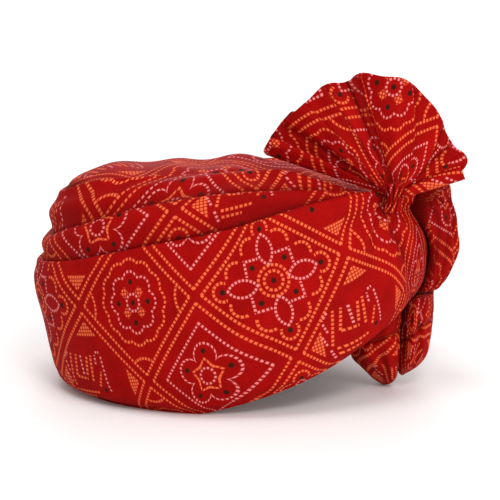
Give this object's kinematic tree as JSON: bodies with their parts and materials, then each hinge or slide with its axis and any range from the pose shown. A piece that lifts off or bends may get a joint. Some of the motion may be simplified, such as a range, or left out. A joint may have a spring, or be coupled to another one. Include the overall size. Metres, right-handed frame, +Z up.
{
  "type": "tied turban (pagri, safa) with a pleated fan and a tucked tail",
  "caption": "Pre-tied turban in red bandhani cloth: a broad band, stacked wraps that rise to one gather, a pleated fan and a tucked tail.",
  "frame": {"origin": "middle of the box's underside, on the surface that the turban rests on", "axes": "+Z up, -X toward the forehead, +X toward the gathered back, -Y toward the side with the fan"},
  "size_m": [0.3282, 0.2384, 0.2507],
  "materials": {
    "cloth": "matte"
  },
  "bodies": {
    "root": {"crown": "cloth", "broad_band": "cloth", "wrap_middle": "cloth", "wrap_upper": "cloth", "fan_left": "cloth", "fan_middle": "cloth", "fan_right": "cloth", "fan_end": "cloth", "gather_neck": "cloth", "hanging_end": "cloth", "tail_upper": "cloth", "tail_lower": "cloth"}
  },
  "joints": []
}
